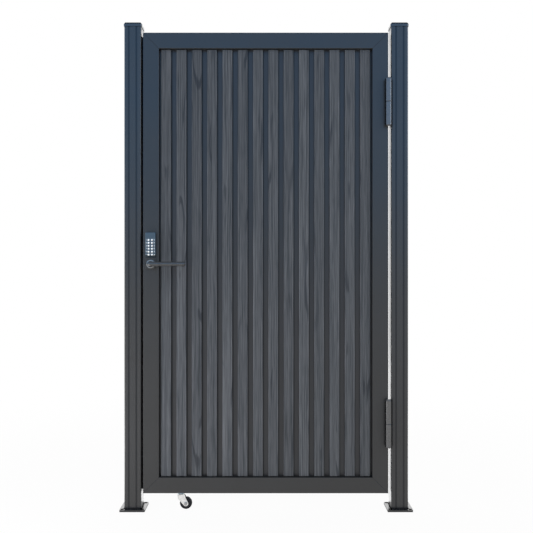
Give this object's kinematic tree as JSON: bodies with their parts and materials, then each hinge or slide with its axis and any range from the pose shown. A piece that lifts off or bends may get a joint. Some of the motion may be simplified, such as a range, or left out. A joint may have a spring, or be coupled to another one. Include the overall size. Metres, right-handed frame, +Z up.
{
  "type": "slatted privacy gate",
  "caption": "Garden gate leaf of upright slats in a mitred box frame between two square posts, with a keypad lever lock, barrel hinges and a castor under the latch side.",
  "frame": {"origin": "centre of the underside of the hinge post's base plate, on the ground", "axes": "+X from the latch post towards the hinge post, -Y the outer face with the keypad, +Z up"},
  "size_m": [1.198, 0.187, 2],
  "materials": {
    "anthracite_coat": "anthracite powder coat on extruded aluminium",
    "slat_composite": "dark grey wood-grain composite",
    "hinge_coat": "dark grey coated steel",
    "lock_coat": "grey coated die casting",
    "button_chrome": "bright plated buttons",
    "bare_steel": "plain steel",
    "zinc_plate": "bright zinc plated pressed steel",
    "hub_plastic": "black moulded nylon",
    "tyre_rubber": "black rubber tread"
  },
  "bodies": {
    "posts": {"hinge_post": "anthracite_coat", "latch_post": "anthracite_coat", "hinge_post_base": "anthracite_coat", "latch_post_base": "anthracite_coat", "hinge_post_cap": "anthracite_coat", "latch_post_cap": "anthracite_coat", "lower_hinge_post_half": "hinge_coat", "upper_hinge_post_half": "hinge_coat", "lower_hinge_pin": "bare_steel", "upper_hinge_pin": "bare_steel", "strike_plate": "bare_steel", "latch_stop": "anthracite_coat"},
    "leaf": {"latch_stile": "anthracite_coat", "hinge_stile": "anthracite_coat", "bottom_rail": "anthracite_coat", "top_rail": "anthracite_coat", "backing_sheet": "anthracite_coat", "slat_01": "slat_composite", "slat_02": "slat_composite", "slat_03": "slat_composite", "slat_04": "slat_composite", "slat_05": "slat_composite", "slat_06": "slat_composite", "slat_07": "slat_composite", "slat_08": "slat_composite", "slat_09": "slat_composite", "slat_10": "slat_composite", "slat_11": "slat_composite", "slat_12": "slat_composite", "slat_13": "slat_composite", "slat_14": "slat_composite", "lower_hinge_leaf_half": "hinge_coat", "upper_hinge_leaf_half": "hinge_coat", "handle_plate": "lock_coat", "inside_plate": "lock_coat", "keypad_body": "lock_coat", "keypad_buttons": "button_chrome", "lock_case": "bare_steel", "latch_bolt": "bare_steel", "castor_head": "zinc_plate"},
    "handle": {"outer_lever": "lock_coat", "inside_lever": "lock_coat", "spindle": "bare_steel"},
    "castor_swivel": {"castor_fork": "zinc_plate", "castor_axle": "zinc_plate"},
    "castor_wheel": {"castor_hub": "hub_plastic", "castor_tyre": "tyre_rubber"}
  },
  "joints": [
    {"name": "gate_swing", "type": "hinge", "parent": "posts", "child": "leaf", "pos_m": [-0.0485, -0.051, 0], "axis": [0, 0, 1], "range_deg": [0, 170]},
    {"name": "handle_turn", "type": "hinge", "parent": "leaf", "child": "handle", "pos_m": [-1.019, -0.008, 1.01], "axis": [0, 1, 0], "range_deg": [0, 45], "stiffness_Nm_per_rad": 1.2, "springref_deg": -34.38},
    {"name": "castor_swivel", "type": "hinge", "parent": "leaf", "child": "castor_swivel", "pos_m": [-0.899, -0.008, 0.06], "axis": [0, 0, 1], "continuous": true},
    {"name": "castor_roll", "type": "hinge", "parent": "castor_swivel", "child": "castor_wheel", "pos_m": [-0.878, -0.008, 0.025], "axis": [0, 1, 0], "continuous": true}
  ]
}
